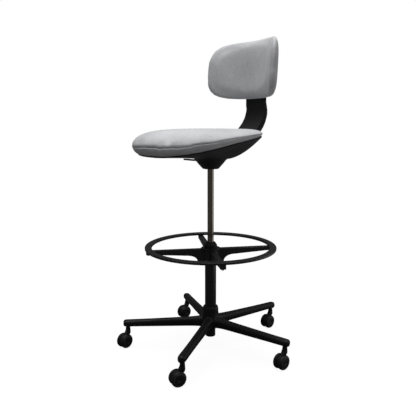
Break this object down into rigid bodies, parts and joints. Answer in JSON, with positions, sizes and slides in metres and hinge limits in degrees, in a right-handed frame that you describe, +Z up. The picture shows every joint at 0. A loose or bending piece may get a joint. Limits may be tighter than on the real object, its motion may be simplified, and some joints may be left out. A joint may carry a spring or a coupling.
{
  "type": "drafting chair",
  "caption": "High work chair on a five-arm caster base with a gas lift, a round foot ring, a dished shell seat and a curved padded backrest on a sprung arm.",
  "frame": {"origin": "On the floor, on the axis of the column.", "axes": "+Z is up, the chair faces -Y, and +X is to the left of a person sitting in it."},
  "size_m": [0.6075, 0.6004, 1.0856],
  "materials": {
    "base_black": "moulded black plastic with a fine grain",
    "painted_black": "black powder coat",
    "tube_metal": "satin dark chrome",
    "steel": "zinc plated steel",
    "shell_black": "matte black moulded plastic",
    "seat_fabric": "light grey woven fabric over foam",
    "back_fabric": "grey woven fabric over foam",
    "wheel_black": "black soft tread",
    "rubber": "black rubber",
    "bush_plastic": "natural acetal",
    "board": "moulded beech plywood"
  },
  "bodies": {
    "base": {"base_star": "base_black", "column_tube": "painted_black", "column_cap": "base_black", "guide_bush": "bush_plastic", "thrust_bearing": "steel", "caster1_stem": "steel", "caster2_stem": "steel", "caster3_stem": "steel", "caster4_stem": "steel", "caster5_stem": "steel"},
    "lift_rod": {"piston_rod": "steel", "piston_head": "steel", "rubber_buffer": "rubber", "rod_clip": "steel"},
    "seat": {"pressure_tube": "tube_metal", "rod_guide": "rubber", "taper_socket": "steel", "mechanism_frame": "painted_black", "seat_board": "board", "seat_shell": "shell_black", "seat_cushion": "seat_fabric", "seat_screws": "steel", "lever_pin": "steel", "back_pivot_bar": "steel"},
    "valve": {"valve_pin": "steel"},
    "lever": {"gas_lever": "shell_black"},
    "arm": {"back_arm": "shell_black", "arm_bushes": "bush_plastic"},
    "backrest": {"back_carrier": "shell_black", "sleeve_liner": "bush_plastic", "back_front_pad": "back_fabric", "back_rear_pad": "back_fabric"},
    "foot_ring": {"ring_rim": "painted_black", "ring_spider": "painted_black", "ring_screws": "steel", "ring_grub_screws": "steel"},
    "caster1": {"caster1_hood": "base_black", "caster1_axle": "steel"},
    "caster1_left": {"caster1_left_wheel": "wheel_black"},
    "caster1_right": {"caster1_right_wheel": "wheel_black"},
    "caster2": {"caster2_hood": "base_black", "caster2_axle": "steel"},
    "caster2_left": {"caster2_left_wheel": "wheel_black"},
    "caster2_right": {"caster2_right_wheel": "wheel_black"},
    "caster3": {"caster3_hood": "base_black", "caster3_axle": "steel"},
    "caster3_left": {"caster3_left_wheel": "wheel_black"},
    "caster3_right": {"caster3_right_wheel": "wheel_black"},
    "caster4": {"caster4_hood": "base_black", "caster4_axle": "steel"},
    "caster4_left": {"caster4_left_wheel": "wheel_black"},
    "caster4_right": {"caster4_right_wheel": "wheel_black"},
    "caster5": {"caster5_hood": "base_black", "caster5_axle": "steel"},
    "caster5_left": {"caster5_left_wheel": "wheel_black"},
    "caster5_right": {"caster5_right_wheel": "wheel_black"}
  },
  "joints": [
    {"name": "seat_swivel", "type": "hinge", "parent": "base", "child": "lift_rod", "pos_m": [0, 0, 0.2], "axis": [0, 0, 1], "continuous": true},
    {"name": "seat_height", "type": "slide", "parent": "lift_rod", "child": "seat", "axis": [0, 0, 1], "range_m": [-0.2, 0]},
    {"name": "gas_lever", "type": "hinge", "parent": "seat", "child": "lever", "pos_m": [-0.028, 0, 0.707], "axis": [0, 1, 0], "range_deg": [0, 6], "stiffness_Nm_per_rad": 2, "springref_deg": -2.86},
    {"name": "valve_press", "type": "slide", "parent": "seat", "child": "valve", "axis": [0, 0, -1], "range_m": [0, 0.0035]},
    {"name": "back_recline", "type": "hinge", "parent": "seat", "child": "arm", "pos_m": [0, 0.118, 0.728], "axis": [-1, 0, 0], "range_deg": [0, 10], "stiffness_Nm_per_rad": 90, "springref_deg": -5.73},
    {"name": "backrest_height", "type": "slide", "parent": "arm", "child": "backrest", "axis": [0, 0.0523, 0.9986], "range_m": [0, 0.05]},
    {"name": "ring_height", "type": "slide", "parent": "base", "child": "foot_ring", "axis": [0, 0, 1], "range_m": [-0.12, 0]},
    {"name": "caster1_swivel", "type": "hinge", "parent": "base", "child": "caster1", "pos_m": [0, 0.297, 0.055], "axis": [0, 0, 1], "continuous": true},
    {"name": "caster1_left_roll", "type": "hinge", "parent": "caster1", "child": "caster1_left", "pos_m": [0.00237, 0.28017, 0.025], "axis": [0.9903, 0.1392, 0], "continuous": true},
    {"name": "caster1_right_roll", "type": "hinge", "parent": "caster1", "child": "caster1_right", "pos_m": [0.00237, 0.28017, 0.025], "axis": [0.9903, 0.1392, 0], "continuous": true},
    {"name": "caster2_swivel", "type": "hinge", "parent": "base", "child": "caster2", "pos_m": [-0.28246, 0.09178, 0.055], "axis": [0, 0, 1], "continuous": true},
    {"name": "caster2_left_roll", "type": "hinge", "parent": "caster2", "child": "caster2_left", "pos_m": [-0.2801, 0.07494, 0.025], "axis": [0.9903, 0.1392, 0], "continuous": true},
    {"name": "caster2_right_roll", "type": "hinge", "parent": "caster2", "child": "caster2_right", "pos_m": [-0.2801, 0.07494, 0.025], "axis": [0.9903, 0.1392, 0], "continuous": true},
    {"name": "caster3_swivel", "type": "hinge", "parent": "base", "child": "caster3", "pos_m": [-0.17457, -0.24028, 0.055], "axis": [0, 0, 1], "continuous": true},
    {"name": "caster3_left_roll", "type": "hinge", "parent": "caster3", "child": "caster3_left", "pos_m": [-0.17046, -0.25677, 0.025], "axis": [0.9703, 0.2419, 0], "continuous": true},
    {"name": "caster3_right_roll", "type": "hinge", "parent": "caster3", "child": "caster3_right", "pos_m": [-0.17046, -0.25677, 0.025], "axis": [0.9703, 0.2419, 0], "continuous": true},
    {"name": "caster4_swivel", "type": "hinge", "parent": "base", "child": "caster4", "pos_m": [0.17457, -0.24028, 0.055], "axis": [0, 0, 1], "continuous": true},
    {"name": "caster4_left_roll", "type": "hinge", "parent": "caster4", "child": "caster4_left", "pos_m": [0.17191, -0.25707, 0.025], "axis": [0.9877, -0.1564, 0], "continuous": true},
    {"name": "caster4_right_roll", "type": "hinge", "parent": "caster4", "child": "caster4_right", "pos_m": [0.17191, -0.25707, 0.025], "axis": [0.9877, -0.1564, 0], "continuous": true},
    {"name": "caster5_swivel", "type": "hinge", "parent": "base", "child": "caster5", "pos_m": [0.28246, 0.09178, 0.055], "axis": [0, 0, 1], "continuous": true},
    {"name": "caster5_left_roll", "type": "hinge", "parent": "caster5", "child": "caster5_left", "pos_m": [0.28454, 0.0749, 0.025], "axis": [0.9925, 0.1219, 0], "continuous": true},
    {"name": "caster5_right_roll", "type": "hinge", "parent": "caster5", "child": "caster5_right", "pos_m": [0.28454, 0.0749, 0.025], "axis": [0.9925, 0.1219, 0], "continuous": true}
  ],
  "couplings": [
    {"joint": "valve_press", "follows": "gas_lever", "m_per_rad": 0.0325}
  ]
}
